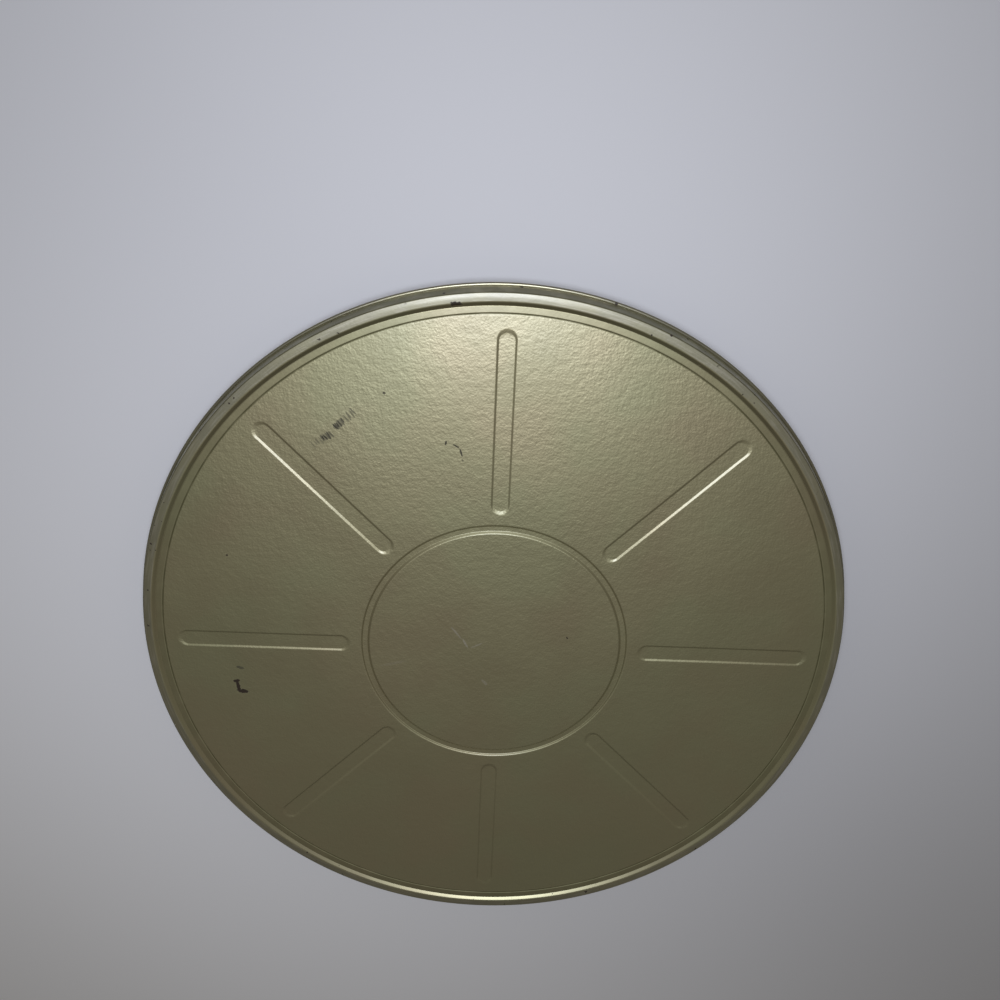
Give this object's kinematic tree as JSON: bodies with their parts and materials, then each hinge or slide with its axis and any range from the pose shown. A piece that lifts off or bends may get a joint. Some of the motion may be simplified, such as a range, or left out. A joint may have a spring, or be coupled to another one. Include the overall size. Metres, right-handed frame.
{
  "type": "film reel can",
  "caption": "Shallow round pressed-steel can with a lift-off lid, ribbed panels and a rolled edge, for storing a large motion picture film reel lying flat.",
  "frame": {"origin": "centre of the ring that the closed can rests on, lying flat", "axes": "+Z along the can's axis, up through the lid; +Y towards the rib at the top of the lid's face, less 2.3 degrees"},
  "size_m": [0.362, 0.362, 0.027],
  "materials": {
    "olive_gold_lacquer": "glossy olive-gold metallic lacquer with a fine orange-peel texture, chipped to dark steel along the rim"
  },
  "bodies": {
    "base": {"can_base": "olive_gold_lacquer"},
    "lid": {"can_lid": "olive_gold_lacquer"}
  },
  "joints": [
    {"name": "lid_lift", "type": "slide", "parent": "base", "child": "lid", "axis": [0, 0, 1], "range_m": [0, 0.15]}
  ]
}
